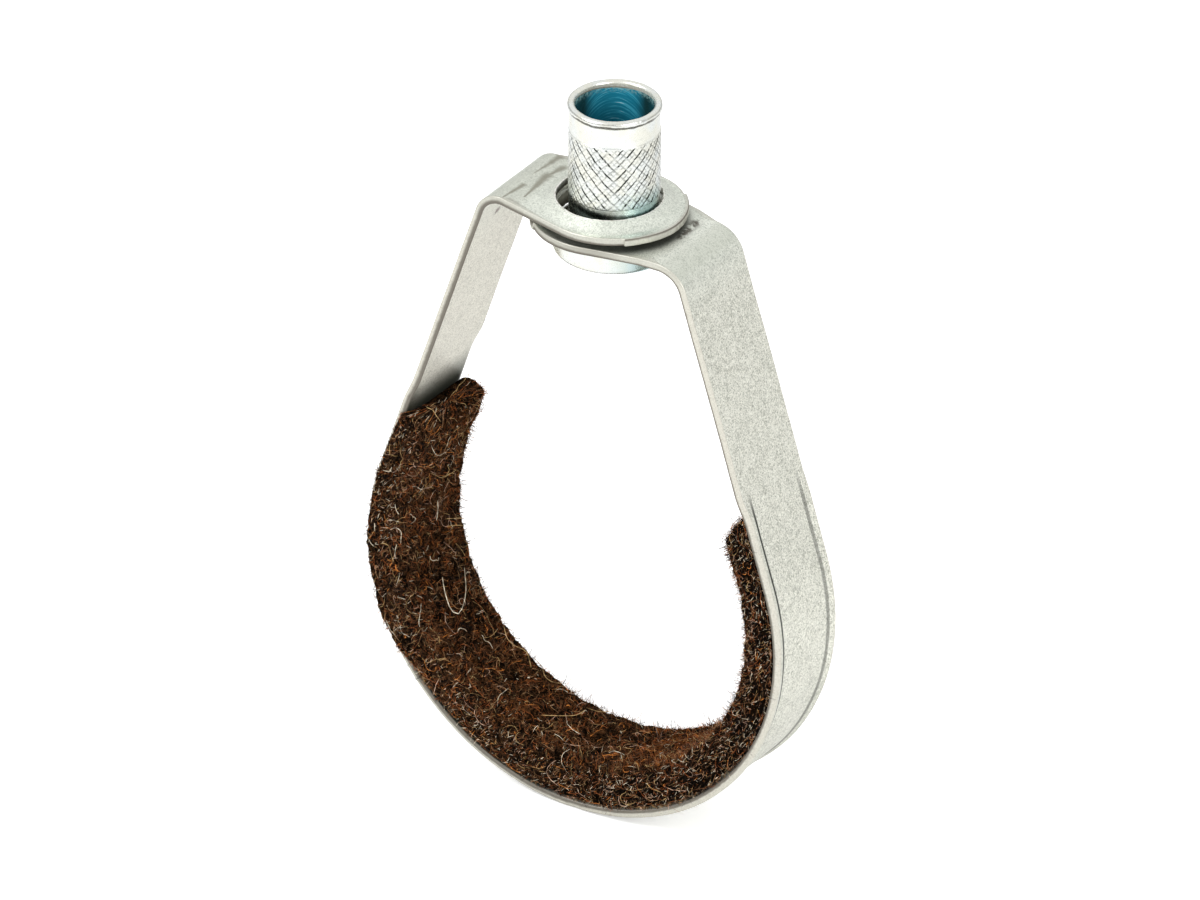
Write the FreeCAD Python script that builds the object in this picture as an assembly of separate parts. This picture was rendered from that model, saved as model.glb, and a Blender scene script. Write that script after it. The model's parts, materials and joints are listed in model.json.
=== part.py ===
import FreeCAD, Part
import math
import os

# Swivel ring hanger: one bent steel strip, a knurled nut that its two eyed ends turn on, and a felt lining.
# Millimetres and degrees. X runs across the ring, Y along the pipe, Z up the hanger rod.
# The origin is on the rod's axis, where the nut's thread starts.

V = FreeCAD.Vector
Y_AXIS = V(0, 1, 0)
Z_AXIS = V(0, 0, 1)

# Pipe that the lined ring takes
pipe_d = 60.3

# Steel strip
strip_w = 15.875
sheet_t = 1.21
left_bend_r = 3.2
right_bend_r = 3.8

# Ring and legs of the loop
neck_h = 28.9
ring_offset = 0.85
left_lean = 18.6
right_lean = 17.5

# Turned-out edges of the ring, which fade away on the legs
edge_w = 1.75
edge_rise = 0.55
edge_fade = 5.0
left_front_run = 13.0
left_rear_run = 15.8
right_front_run = 11.0
right_rear_run = 9.5

# Eyes at the strip's ends
eye_play = 1.05
eye_rim_w = 3.1
eye_offset = 0.55
eye_gap = 1.0
shear_step = 0.3
shear_angle = 48.0
collar_w = 2.4
collar_rise = 1.3

# Knurled nut
bore_depth = 9.0
bore_r = 5.9
entry_cone_h = 1.1
thread_minor_r = 4.0
thread_exit_c = 0.7
lip_r = 7.05
lip_h = 0.9
body_r = 6.75
knurl_rise = 0.1
knurl_from = 4.5
knurl_to = 14.9
lip_to_eye = 17.3
flange_r = 9.1
flange_h = 3.9
flange_round = 0.9

# Felt lining
felt_w = 15.4
felt_side_t = 4.45
felt_crown = 1.4
left_felt_run = 10.3
right_felt_run = 10.5
felt_round = 1.2

# Clearances
eye_run_gap = 0.2
flange_gap = 0.2
glue_line = 0.1

# Ring about the pipe and the felt
seat_r = pipe_d / 2
felt_back_r = seat_r + felt_side_t
ring_r = felt_back_r + glue_line

# Heights
lip_top_z = bore_depth
upper_eye_z = lip_top_z - lip_to_eye - sheet_t
lower_eye_z = upper_eye_z - eye_gap - sheet_t
ring_z = lip_top_z - lip_to_eye - neck_h - ring_r

# Places across the ring: the eyes lean on the nut's +X side
knurl_r = body_r + knurl_rise
eye_hole_r = knurl_r + eye_play
eye_r = eye_hole_r + eye_rim_w
collar_r = eye_hole_r + collar_w
eye_x = eye_run_gap - eye_play
ring_x = eye_x - ring_offset
half_w = strip_w / 2


class Leg:
    """One leg's inner face: a line tangent to the ring that leans in towards the rod."""

    def __init__(self, side, lean, bend_r, plate_z):
        a = math.radians(lean)
        self.side = side
        self.lean = lean
        self.out = V(side * math.cos(a), 0, math.sin(a))
        self.up = V(-side * math.sin(a), 0, math.cos(a))
        self.foot = V(ring_x, 0, ring_z) + self.out * ring_r
        self.turn = 90 - lean
        setback = bend_r * math.tan(math.radians(self.turn / 2))
        self.length = (plate_z - self.foot.z) / self.up.z - setback
        self.top = self.at(self.length)
        self.bend_centre = self.top - self.out * bend_r
        self.plate_x = self.bend_centre.x

    def at(self, run):
        return self.foot + self.up * run


def strip_section(point, out, front_rise, rear_rise):
    """The strip's cross-section at a point of its inner face, with its edges turned out and cut square."""
    flat_half = half_w - edge_w
    tilt = sheet_t / edge_w
    inner = [(front_rise, -half_w), (0, -flat_half), (0, flat_half), (rear_rise, half_w)]
    outer = [
        (rear_rise + sheet_t, half_w - rear_rise * tilt),
        (sheet_t, flat_half),
        (sheet_t, -flat_half),
        (front_rise + sheet_t, front_rise * tilt - half_w),
    ]
    corners = [point + out * depth + Y_AXIS * y for depth, y in inner + outer]
    return Part.makePolygon(corners + corners[:1])


def turned_rise(run, full_run):
    """How far an edge is turned out at a distance up the leg: fully at first, then fading away."""
    left = (full_run + edge_fade - run) / edge_fade
    return edge_rise * min(1, max(0, left))


def leg_solids(leg, front_run, rear_run):
    """The leg from the ring to the end of its top bend."""

    def section(run):
        return strip_section(leg.at(run), leg.out, turned_rise(run, front_run), turned_rise(run, rear_run))

    stations = sorted({0, front_run, rear_run, front_run + edge_fade, rear_run + edge_fade, leg.length})
    solids = []
    for start, end in zip(stations, stations[1:]):
        solids.append(Part.makeLoft([section(start), section(end)], True, True))
    top_section = Part.Face(section(leg.length))
    solids.append(top_section.revolve(leg.bend_centre, Y_AXIS, -leg.side * leg.turn))
    return solids


def ring_solid(left, right):
    """The ring's arc, swept under the pipe from the right leg's foot to the left one's."""
    section = Part.Face(strip_section(right.foot, right.out, edge_rise, edge_rise))
    return section.revolve(V(ring_x, 0, ring_z), Y_AXIS, 180 + left.lean + right.lean)


def eye_outline(leg):
    """The eye's plan: it widens from the bend to a round, and its sheared end stands out a little."""
    end = -leg.side

    def place(along, y):
        return V(eye_x + end * along, y, 0)

    def on_round(radius, angle):
        a = math.radians(angle)
        return place(eye_offset + radius * math.cos(a), radius * math.sin(a))

    def arc(radius, first, last):
        middle = on_round(radius, (first + last) / 2)
        return Part.Arc(on_round(radius, first), middle, on_round(radius, last)).toShape()

    start = end * (leg.plate_x - eye_x)
    reach = math.hypot(eye_offset - start, half_w)
    heading = math.atan2(half_w, eye_offset - start) - math.asin(eye_r / reach)
    touch = 90 - math.degrees(heading)
    cut_r = eye_r + shear_step
    cut = shear_angle
    edges = [
        Part.makeLine(place(start, half_w), place(start, -half_w)),
        Part.makeLine(place(start, -half_w), on_round(eye_r, -touch)),
        arc(eye_r, -touch, -cut),
        Part.makeLine(on_round(eye_r, -cut), on_round(cut_r, -cut)),
        arc(cut_r, -cut, cut),
        Part.makeLine(on_round(cut_r, cut), on_round(eye_r, cut)),
        arc(eye_r, cut, touch),
        Part.makeLine(on_round(eye_r, touch), place(start, half_w)),
    ]
    return Part.Wire(edges)


def eye_solid(leg, plate_z):
    """One end of the strip: a flat eye with a shallow collar drawn up round its hole."""
    plan = eye_outline(leg)
    plan.translate(V(0, 0, plate_z))
    plate = Part.Face(plan).extrude(Z_AXIS * sheet_t)
    plate = plate.cut(Part.makeCylinder(collar_r, 3 * sheet_t, V(eye_x, 0, plate_z - sheet_t)))
    return plate.fuse(collar_solid(plate_z))


def collar_solid(plate_z):
    """The shallow cone between the eye's flat rim and its hole."""
    low = [V(collar_r, 0, plate_z), V(eye_hole_r, 0, plate_z + collar_rise)]
    high = [corner + Z_AXIS * sheet_t for corner in reversed(low)]
    section = Part.Face(Part.makePolygon(low + high + low[:1]))
    cone = section.revolve(V(0, 0, 0), Z_AXIS, 360)
    cone.translate(V(eye_x, 0, 0))
    return cone


def band_solid(left, right):
    """The whole strip, from the upper eye round the pipe to the lower eye."""
    pieces = [ring_solid(left, right)]
    pieces += leg_solids(left, left_front_run, left_rear_run)
    pieces += leg_solids(right, right_front_run, right_rear_run)
    pieces += [eye_solid(left, upper_eye_z), eye_solid(right, lower_eye_z)]
    return pieces[0].fuse(pieces[1:]).removeSplitter().Solids[0]


def nut_solid():
    """The nut: rounded lip, knurled barrel, and a flange whose top follows the lower eye's collar."""
    tight_r = eye_hole_r + eye_x
    collar_slope = collar_rise / collar_w
    seat_z = lower_eye_z + collar_rise - flange_gap
    rim_z = seat_z - (flange_r - tight_r) * collar_slope
    foot_z = rim_z - flange_h
    bead_r = (lip_r - bore_r) / 2
    bead_z = lip_top_z - bead_r
    knurl_top = lip_top_z - knurl_from
    knurl_low = lip_top_z - knurl_to
    round_mid = flange_round * (1 - math.sqrt(0.5))
    outside = [
        (lip_r, bead_z),
        (lip_r, lip_top_z - lip_h),
        (body_r, lip_top_z - lip_h - (lip_r - body_r)),
        (body_r, knurl_top),
        (knurl_r, knurl_top - knurl_rise),
        (knurl_r, knurl_low + knurl_rise),
        (body_r, knurl_low),
        (body_r, seat_z),
        (tight_r, seat_z),
        (flange_r, rim_z),
        (flange_r, foot_z + flange_round),
    ]
    inside = [
        (flange_r - flange_round, foot_z),
        (thread_minor_r + thread_exit_c, foot_z),
        (thread_minor_r, foot_z + thread_exit_c),
        (thread_minor_r, 0),
        (bore_r, entry_cone_h),
        (bore_r, bead_z),
    ]
    outside = [V(r, 0, z) for r, z in outside]
    inside = [V(r, 0, z) for r, z in inside]
    foot_mid = V(flange_r - round_mid, 0, foot_z + round_mid)
    lip_mid = V(bore_r + bead_r, 0, lip_top_z)
    edges = Part.makePolygon(outside).Edges + Part.makePolygon(inside).Edges
    edges.append(Part.Arc(outside[-1], foot_mid, inside[0]).toShape())
    edges.append(Part.Arc(inside[-1], lip_mid, outside[0]).toShape())
    section = Part.Face(Part.Wire(Part.__sortEdges__(edges)))
    return section.revolve(V(0, 0, 0), Z_AXIS, 360)


def felt_solid(left, right):
    """The felt strip glued inside the ring: thicker at the bottom, straight up the legs at its ends."""
    ring_centre = V(ring_x, 0, ring_z)
    seat_centre = ring_centre + Z_AXIS * felt_crown

    def tangent(centre, radius, leg, run=0):
        return centre + leg.out * radius + leg.up * run

    def end_points(leg, run):
        back = tangent(ring_centre, felt_back_r, leg, run)
        face = tangent(seat_centre, seat_r, leg)
        rise = (back - face).dot(leg.up)
        return back, face + leg.up * rise

    left_back, left_face = end_points(left, left_felt_run)
    right_back, right_face = end_points(right, right_felt_run)
    back_arc = Part.Arc(
        tangent(ring_centre, felt_back_r, right),
        ring_centre - Z_AXIS * felt_back_r,
        tangent(ring_centre, felt_back_r, left),
    )
    face_arc = Part.Arc(
        tangent(seat_centre, seat_r, left),
        seat_centre - Z_AXIS * seat_r,
        tangent(seat_centre, seat_r, right),
    )
    edges = [
        Part.makeLine(right_back, back_arc.StartPoint),
        back_arc.toShape(),
        Part.makeLine(back_arc.EndPoint, left_back),
        Part.makeLine(left_back, left_face),
        Part.makeLine(left_face, face_arc.StartPoint),
        face_arc.toShape(),
        Part.makeLine(face_arc.EndPoint, right_face),
        Part.makeLine(right_face, right_back),
    ]
    profile = Part.Face(Part.Wire(edges))
    profile.translate(Y_AXIS * (-felt_w / 2))
    felt = profile.extrude(Y_AXIS * felt_w)
    return felt.makeFillet(felt_round, face_edges(felt, seat_centre, left_face, right_face)).Solids[0]


def face_edges(felt, seat_centre, left_face, right_face):
    """The felt's edges round the pipe side, which wear round."""
    chosen = []
    for edge in felt.Edges:
        ends = [vertex.Point for vertex in edge.Vertexes]
        along_pipe = abs(ends[0].y - ends[1].y) > felt_w / 2
        near = [point for point in ends if on_pipe_side(point, seat_centre, left_face, right_face)]
        if len(near) == 2 and not along_pipe:
            chosen.append(edge)
    return chosen


def on_pipe_side(point, seat_centre, left_face, right_face):
    """Whether a corner of the felt lies on the face that the pipe touches."""
    flat = V(point.x, 0, point.z)
    on_arc = abs((flat - seat_centre).Length - seat_r) < felt_round / 10
    at_end = min((flat - left_face).Length, (flat - right_face).Length) < felt_round / 10
    return on_arc or at_end


def main():
    left = Leg(-1, left_lean, left_bend_r, upper_eye_z)
    right = Leg(1, right_lean, right_bend_r, lower_eye_z)
    solids = {
        "band": band_solid(left, right),
        "swivel_nut": nut_solid(),
        "felt_lining": felt_solid(left, right),
    }
    os.makedirs("parts", exist_ok=True)
    for node, solid in solids.items():
        box = solid.BoundBox
        size = f"{box.XLength:.2f} x {box.YLength:.2f} x {box.ZLength:.2f}"
        print(node, solid.ShapeType, len(solid.Solids), solid.isValid(), f"{solid.Volume:.1f}", size)
        solid.exportStep(f"parts/{node}.step")


main()
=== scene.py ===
import json
import math
from functools import cached_property, partialmethod

import bpy
import numpy as np
from mathutils import Matrix, Vector, noise


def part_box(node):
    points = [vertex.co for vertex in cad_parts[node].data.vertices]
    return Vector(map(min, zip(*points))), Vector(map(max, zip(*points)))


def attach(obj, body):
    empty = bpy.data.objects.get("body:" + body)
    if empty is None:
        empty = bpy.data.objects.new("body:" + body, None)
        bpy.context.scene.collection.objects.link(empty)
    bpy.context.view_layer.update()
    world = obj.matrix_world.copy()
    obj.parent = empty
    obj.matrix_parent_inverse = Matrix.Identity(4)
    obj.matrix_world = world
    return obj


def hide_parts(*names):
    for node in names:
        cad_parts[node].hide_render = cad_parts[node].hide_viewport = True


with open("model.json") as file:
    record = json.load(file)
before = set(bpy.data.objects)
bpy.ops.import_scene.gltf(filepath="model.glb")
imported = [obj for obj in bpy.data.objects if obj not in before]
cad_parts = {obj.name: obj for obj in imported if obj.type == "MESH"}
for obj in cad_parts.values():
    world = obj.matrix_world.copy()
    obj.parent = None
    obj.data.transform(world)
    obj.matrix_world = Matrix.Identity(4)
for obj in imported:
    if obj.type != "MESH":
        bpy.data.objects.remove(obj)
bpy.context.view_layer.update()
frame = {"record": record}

# Swivel ring hanger: bent galvanised strip, knurled swivel nut, hair-felt lining.
# Lengths are in millimetres, and become metres where a mesh, lamp or camera is made.
# X runs across the ring, Y along the pipe, Z up the hanger rod.
MM = 0.001
dice = np.random.default_rng(11)

mounts = {mount["name"]: mount for mount in frame["record"]["mounts"]}
thread = mounts["rod_thread"]
seat = mounts["pipe_seat"]
nut_low, nut_high = [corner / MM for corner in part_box("swivel_nut")]
band_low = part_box("band")[0] / MM

# Steel strip
strip_w = 15.875
sheet_t = 1.21
half_w = strip_w / 2
cut_round = 0.16
edge_wear = 0.035
worn_zone = 0.45

# Ring and legs of the loop
seat_r = seat["dims"]["r_mm"]
felt_side_t = 4.45
felt_crown = 1.4
glue_line = 0.1
felt_back_r = seat_r + felt_side_t
ring_r = felt_back_r + glue_line
ring_centre = np.array([seat["pos_m"][0] / MM, seat["pos_m"][2] / MM - felt_crown])
left_lean = 18.6
right_lean = 17.5
left_bend_r = 3.2
right_bend_r = 3.8

# Turned-out edges of the ring
edge_w = 1.75
crease_y = half_w - edge_w
edge_rise = 0.55
edge_fade = 5.0
left_front_run = 13.0
left_rear_run = 15.8
right_front_run = 11.0
right_rear_run = 9.5

# Eyes
lip_top_z = nut_high.z
lip_to_eye = 17.3
eye_gap = 1.0
upper_eye_z = lip_top_z - lip_to_eye - sheet_t
lower_eye_z = upper_eye_z - eye_gap - sheet_t
eye_x = -0.85
eye_hole_r = 7.9
eye_r = 11.0
eye_offset = 0.55
shear_step = 0.3
shear_angle = 48.0
collar_r = 10.3
collar_rise = 1.3
burr_drop = 1.08
burr_from = 0.2
burr_full = 0.6
hole_wear = 0.16
plate_sag = 0.55
sag_from_x = 8.8
sag_full_x = 14.5
sag_from_z = -34
sag_full_z = -16

# Nut
minor_r = thread["dims"]["r_mm"]
major_r = 4.76
thread_pitch = 1.5875
thread_exit_c = 0.7
bore_r = 5.9
entry_cone_h = 1.1
lip_r = 7.05
lip_h = 0.9
lip_wear = 0.07
body_r = 6.75
knurl_r = 6.85
knurl_top = lip_top_z - 4.5
knurl_low = lip_top_z - 14.9
knurl_starts = 24
knurl_lead = 1.96
knurl_phase = 0.34
knurl_depth = 0.13
knurl_step = 0.15
thread_step = 0.24
plain_step = 0.8
photo_side = math.radians(-57.25)
flange_r = 9.1
flange_gap = 0.2
foot_z = nut_low.z
flange_round = 0.9

# Felt
felt_w = 15.4
felt_spill = 1.15
felt_corner_r = 0.9
askew_run = 5
left_bulge = 0.35
right_bulge = 0.7
felt_swell = 0.22
left_felt_run = 10.3
right_felt_run = 10.5


class Leg:
    """One leg's inner face, seen along the pipe as (x, z): it leans in from the ring to its top bend."""

    def __init__(self, side, lean, bend_r, plate_z):
        tilt = math.radians(lean)
        self.side = side
        self.out = np.array([side * math.cos(tilt), math.sin(tilt)])
        self.up = np.array([-side * math.sin(tilt), math.cos(tilt)])
        self.foot = ring_centre + self.out * ring_r
        self.turn = math.radians(90 - lean)
        self.bend_r = bend_r
        self.length = (plate_z - self.foot[1]) / self.up[1] - bend_r * math.tan(self.turn / 2)
        self.bend_centre = self.at(self.length) - self.out * bend_r
        self.plate_x = self.bend_centre[0]
        self.plate_z = plate_z

    def at(self, run):
        return self.foot + self.up * run


left = Leg(-1, left_lean, left_bend_r, upper_eye_z)
right = Leg(1, right_lean, right_bend_r, lower_eye_z)


def eased(value, low, high):
    """0 below low, 1 above high, and a smooth rise between."""
    share = np.clip((value - low) / (high - low), 0, 1)
    return share * share * (3 - 2 * share)


# Finishes


class Socket:
    """A shader socket in Python expressions: each operator adds its Math node."""

    def __init__(self, finish, link):
        self.finish = finish
        self.link = link

    def math(self, operation, *others):
        return self.finish.node("Math", {"operation": operation}, [self, *others])

    __add__ = __radd__ = partialmethod(math, "ADD")
    __mul__ = __rmul__ = partialmethod(math, "MULTIPLY")
    __sub__ = partialmethod(math, "SUBTRACT")
    __truediv__ = partialmethod(math, "DIVIDE")

    def __rsub__(self, other):
        return self.finish.node("Math", {"operation": "SUBTRACT"}, [other, self])

    def between(self, low, high):
        """0 at low and 1 at high, with a smooth step between. High may be below low."""
        limits = {"Value": self, "From Min": low, "From Max": high}
        return self.finish.node("MapRange", {"interpolation_type": "SMOOTHSTEP"}, limits)


class Finish:
    """A procedural material, or the world's background, and the calls that add its nodes."""

    def __init__(self, name, settings=None, world=False):
        self.holder = (bpy.data.worlds if world else bpy.data.materials).new(name)
        self.holder.use_nodes = True
        self.tree = self.holder.node_tree
        self.shader = self.tree.nodes["Background" if world else "Principled BSDF"]
        self.set(settings or {})

    def set(self, inputs):
        for key, value in inputs.items():
            self.feed(self.shader.inputs[key], value)

    def feed(self, socket, value):
        if isinstance(value, Socket):
            self.tree.links.new(value.link, socket)
        elif socket.type == "RGBA" and len(value) == 3:
            socket.default_value = (*value, 1)
        else:
            socket.default_value = value

    def node(self, kind, settings=None, inputs=(), output=0):
        made = self.tree.nodes.new("ShaderNode" + kind)
        for key, value in (settings or {}).items():
            setattr(made, key, value)
        pairs = inputs.items() if isinstance(inputs, dict) else enumerate(inputs)
        for key, value in pairs:
            self.feed(made.inputs[key], value)
        return Socket(self, made.outputs[output])

    def vector(self, operation, first, more=None, output=0):
        return self.node("VectorMath", {"operation": operation}, {0: first, **(more or {})}, output)

    @cached_property
    def place(self):
        """Where a point is on the resting part, in millimetres."""
        return self.vector("SCALE", self.node("TexCoord", output="Object"), {"Scale": 1 / MM})

    @cached_property
    def plan(self):
        """The same place at height 0."""
        return self.vector("MULTIPLY", self.place, {1: (1, 1, 0)})

    @cached_property
    def from_rod(self):
        """How far a point is from the rod's axis."""
        return self.vector("LENGTH", self.plan, output="Value")

    def axis(self, name, place=None):
        return self.node("SeparateXYZ", None, [place or self.place], name)

    def cloud(self, size, detail=3.0, rough=0.55, place=None):
        """Soft noise whose lumps are about size millimetres across."""
        inputs = {"Vector": place or self.place, "Scale": 1 / size, "Detail": detail, "Roughness": rough}
        return self.node("TexNoise", None, inputs)

    def cells(self, place, size, feature="F1"):
        return self.node("TexVoronoi", {"feature": feature}, {"Vector": place, "Scale": 1 / size})

    def mask(self, name):
        """A value that the piece's own mesh carries."""
        return self.node("Attribute", {"attribute_name": name}, output="Fac")

    def wedge(self, tip, end, tip_w, end_w):
        """A mask for a scuff that runs along a plate from tip to end and widens on the way."""
        tip = Vector((*tip, 0))
        run = Vector((*end, 0)) - tip
        from_tip = self.vector("SUBTRACT", self.plan, {1: tip})
        share = self.vector("DOT_PRODUCT", from_tip, {1: run / run.length_squared}, "Value")
        share = share.math("MAXIMUM", 0).math("MINIMUM", 1)
        nearest = self.vector("SCALE", self.node("CombineXYZ", None, list(run)), {"Scale": share})
        away = self.vector("LENGTH", self.vector("SUBTRACT", from_tip, {1: nearest}), output="Value")
        ragged = self.cloud(1.1) * 0.5 - 0.25
        width = share * (end_w - tip_w) + tip_w
        return (away + ragged).between(width * 1.3, width * 0.15)

    def blend(self, share, first, second):
        return self.node("Mix", {"data_type": "RGBA"}, {0: share, 6: first, 7: second}, 2)

    def over(self, share, colour):
        """Lays a colour over the finish, by its share."""
        self.colour = self.blend(share, self.colour, colour)

    def bump(self, height, depth, under=None):
        """A bump of that depth in millimetres at height 1."""
        inputs = {"Height": height, "Distance": depth * MM}
        if under:
            inputs["Normal"] = under
        return self.node("Bump", None, inputs)

    def done(self, **inputs):
        self.set({"Base Color": self.colour, **inputs})
        return self.holder


def galvanised_finish():
    """Matt hot-dip zinc: fine spangle, pale flecks, cut edges with a dark torn zone, forming marks, and
    painted shade and light: shade along the creases, at the bend, under the upper eye and above the felt,
    light on the lower plate's end and the hole's rim.
    """
    f = Finish("galvanised_strip", {"Metallic": 0.85})
    height = f.axis("Z")
    across = f.axis("X")
    patches = f.cloud(3.2, 4, 0.6)
    mottle = f.cloud(0.95, 5, 0.7)
    grain = f.cloud(0.24, 3, 0.75)
    flecks = f.cells(f.place, 0.75).between(0.2, 0.05)
    specks = f.cloud(0.3, 2).between(0.66, 0.76)
    inner = f.mask("inner")
    edge = f.mask("edge")
    through = f.mask("through")
    wide = across.between(10, -12) * 0.34 + 0.4
    torn = edge * (through + mottle * 0.2 - 0.1).between(wide, wide * 0.35)
    # Painted shade: a thin dark line along the crease of each turned edge, on the outer face
    from_crease = (f.axis("Y").math("ABSOLUTE") - (crease_y - 0.1)).math("ABSOLUTE")
    crease = f.mask("turned") * (from_crease + mottle * 0.06 - 0.03).between(0.4, 0.2)

    f.colour = f.blend(patches.between(0.32, 0.68), (0.57, 0.575, 0.505), (0.71, 0.71, 0.63))
    f.over(mottle.between(0.38, 0.6) * 0.8, (0.80, 0.80, 0.715))
    f.over(mottle.between(0.44, 0.3) * 0.6, (0.44, 0.45, 0.385))
    f.over(grain.between(0.5, 0.34) * 0.85, (0.23, 0.235, 0.19))
    f.over(grain.between(0.51, 0.66) * 0.9, (0.95, 0.95, 0.87))
    f.over(flecks * 0.5, (0.90, 0.90, 0.85))
    f.over(specks * 0.35, (0.33, 0.32, 0.27))
    f.over(height.between(-20, -9) * 0.45, (0.70, 0.76, 0.69))
    f.over(inner * 0.35, (0.67, 0.62, 0.54))
    # Painted shadow and reflection of the felt's dark left end, on the steel's inner face above it
    felt_end_shadow = height.between(-43.0, -50.0) * across.between(0, -10) * inner
    f.over(felt_end_shadow * 0.92, (0.045, 0.054, 0.036))
    # Painted light: the lower plate near the right bend painted paler, in grainy patches
    ledge = across.between(10.0, 11.5) * across.between(16.0, 14.0) * height.between(-14.5, -12.0)
    f.over(ledge * grain.between(0.35, 0.6) * 0.45, (0.90, 0.91, 0.84))

    marks = (
        ((-14.8, 0.6), (-14.3, 7.6), 0.1, 0.8),
        ((-12.1, -5.6), (-12.8, 1.6), 0.12, 0.95),
        ((-12.9, 0.6), (-12.1, 4.8), 0.12, 0.85),
        ((-14.7, -7.5), (-14.2, -2.8), 0.12, 0.6),
    )
    scuffs = 0
    for mark in marks:
        scuffs = f.wedge(*mark).math("MAXIMUM", scuffs)
    scuffs = scuffs * height.between(-9.2, -8.6)
    burr = f.wedge((11.3, 0.2), (10.9, 5.2), 0.6, 1.1) * height.between(-11.3, -10.8)
    burr = burr * f.cloud(0.7, 4).between(0.36, 0.56)
    nick = f.wedge((-18.9, -2.9), (-18.75, -2.1), 0.2, 0.3) * height.between(-15.6, -14.6)
    f.over(scuffs * 0.8, (0.21, 0.195, 0.15))
    f.over(burr * 0.95, (0.09, 0.075, 0.06))
    f.over(nick * height.between(-13.2, -14.2) * 0.8, (0.16, 0.11, 0.10))

    # Painted shadow on the lower plate under the upper eye's edge: a wide soft one and a dark narrow one
    under_eye_shadow = height.between(-9.6, -10.4) * height.between(-14.0, -12.0)
    f.over(f.from_rod.between(13.8, 10.8) * under_eye_shadow * 0.25, (0.19, 0.20, 0.16))
    f.over(f.from_rod.between(11.9, 10.4) * under_eye_shadow * 0.8, (0.06, 0.062, 0.05))
    # The upper eye's top darker towards its left bend
    left_top_dark = across.between(-10.5, -12.5) * height.between(-9.2, -8.6)
    f.over(left_top_dark * 0.3, (0.40, 0.40, 0.33))
    # Painted shade on the right leg's top bend
    bend = across.between(12.5, 14.0) * across.between(17.5, 16.0) * height.between(-16.5, -13.5)
    f.over(bend * 0.35, (0.40, 0.42, 0.35))
    bright = f.blend(height.between(-14, -11), (0.60, 0.575, 0.50), (0.50, 0.485, 0.42))
    f.over(edge * 0.7, bright)
    f.over(torn * 0.8, (0.13, 0.112, 0.09))
    low_left = height.between(-50, -62) * across.between(20, -5) * edge * through.between(0.72, 0.95)
    f.over(low_left * 0.6, (0.16, 0.14, 0.11))
    # Painted highlight along the rim of the upper eye's hole, in ragged patches
    rim = f.mask("rim") * f.cloud(0.6, 4).between(0.36, 0.5) * height.between(-9.2, -8.4)
    f.over(rim * 0.8, (0.97, 0.97, 0.92))
    # Painted shade along the creases
    f.over(crease, (0.03, 0.032, 0.027))
    roughness = 0.36 + mottle * 0.2 + scuffs * 0.1 + torn * 0.25 - flecks * 0.08
    relief = f.bump(grain * 0.6 + mottle + flecks * 0.35 + patches * 0.8, 0.02)
    return f.done(Roughness=roughness, Normal=f.bump(scuffs.math("MAXIMUM", torn) * -1, 0.03, relief))


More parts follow.
